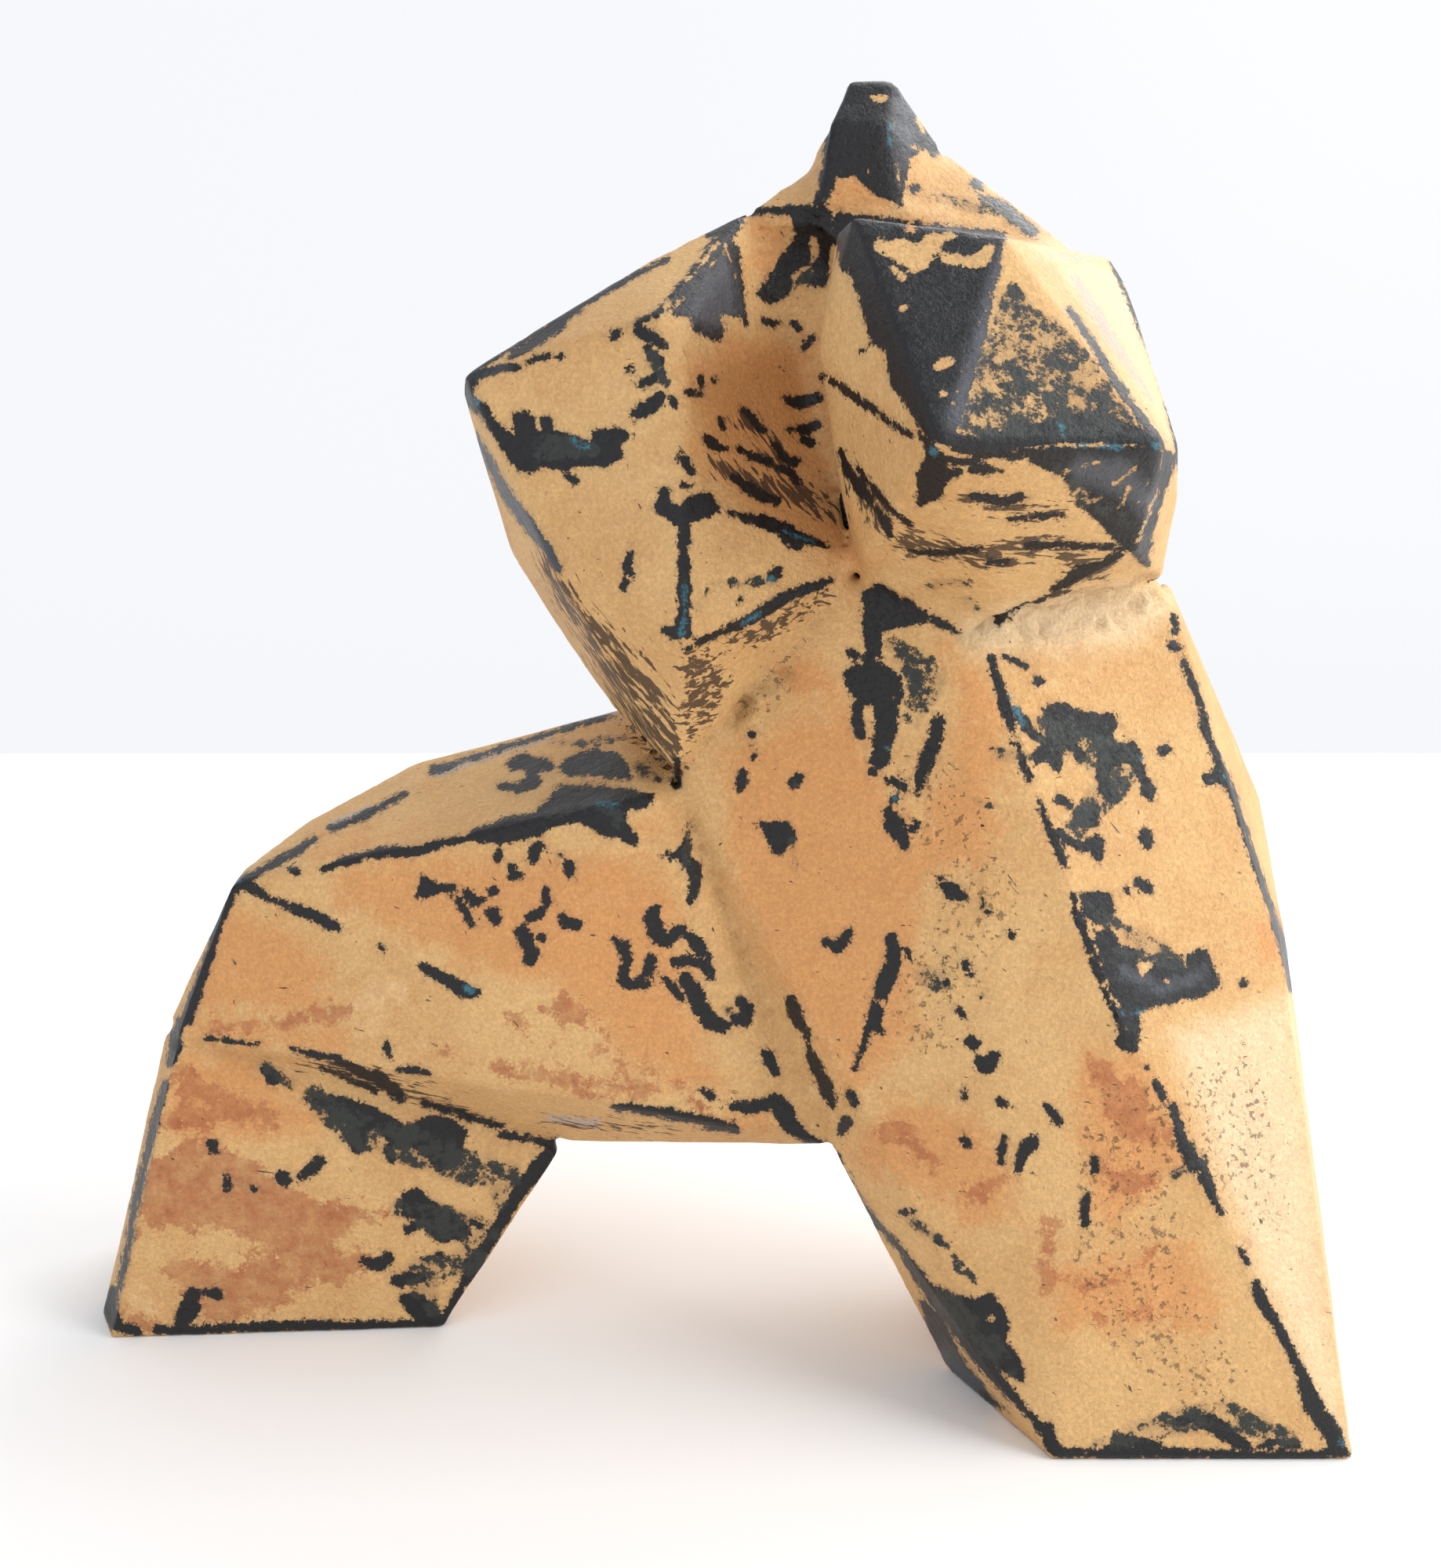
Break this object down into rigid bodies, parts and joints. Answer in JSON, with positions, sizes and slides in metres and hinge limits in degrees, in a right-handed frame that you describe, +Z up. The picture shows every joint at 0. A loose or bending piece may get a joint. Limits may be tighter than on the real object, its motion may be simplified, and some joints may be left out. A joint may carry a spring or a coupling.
{
  "type": "figure sculpture",
  "caption": "Table-top figure sculpture in a wide tai chi stance, made of flat hewn planes, cast whole in bronze with a worn ochre and black patina.",
  "frame": {"origin": "middle of the figure's footprint extent, in the plane of the two soles", "axes": "+X to the viewer's right as the figure faces the viewer, -Y towards the viewer, +Z up"},
  "size_m": [0.305, 0.1347, 0.297],
  "materials": {
    "patinated_bronze": "satin ochre patina worn through to semi-gloss black along edges and in patches, with rust-brown and turquoise traces"
  },
  "bodies": {
    "root": {"tai_chi_figure": "patinated_bronze"}
  },
  "joints": []
}
